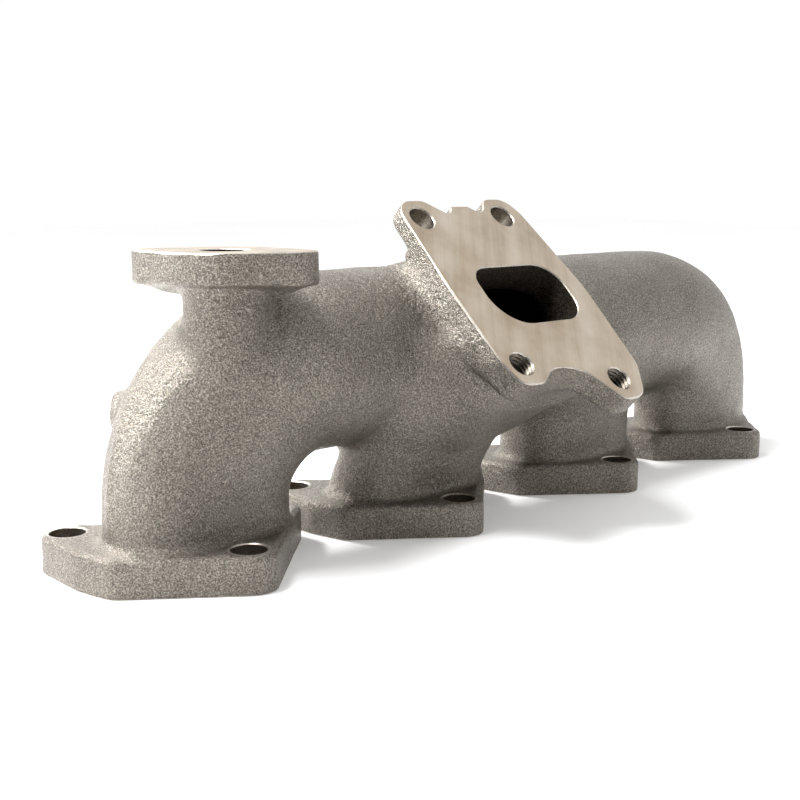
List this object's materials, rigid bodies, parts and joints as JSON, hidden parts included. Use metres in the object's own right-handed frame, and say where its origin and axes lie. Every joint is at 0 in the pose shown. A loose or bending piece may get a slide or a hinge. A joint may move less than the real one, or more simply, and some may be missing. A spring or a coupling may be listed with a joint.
{
  "type": "exhaust manifold",
  "caption": "Cast log exhaust manifold for an inline engine: bolted port flanges, curved runners, a tilted turbocharger flange and a small relief flange on top.",
  "frame": {"origin": "middle of the footprint on the plane of the four head gasket faces", "axes": "+X along the row of ports from the relief-flange end to the other end, +Z away from the cylinder head, -Y towards the side the turbocharger flange faces"},
  "size_m": [0.3474, 0.1016, 0.1137],
  "materials": {
    "cast_skin": "sand-cast and shot-blasted, fine grain",
    "head_plates": "sand-cast sides, machined gasket face underneath",
    "turbo_plate": "machined face with a light tan heat tint, cast sides",
    "relief_plate": "machined top face, cast sides"
  },
  "bodies": {
    "root": {"runner_1": "cast_skin", "runner_2": "cast_skin", "runner_3": "cast_skin", "runner_4": "cast_skin", "collector_left": "cast_skin", "collector_centre": "cast_skin", "collector_right": "cast_skin", "turbo_flange": "turbo_plate", "relief_neck": "cast_skin", "relief_flange": "relief_plate", "sensor_boss": "cast_skin", "head_flange_1": "head_plates", "head_flange_2": "head_plates", "head_flange_3": "head_plates", "head_flange_4": "head_plates"}
  },
  "joints": []
}
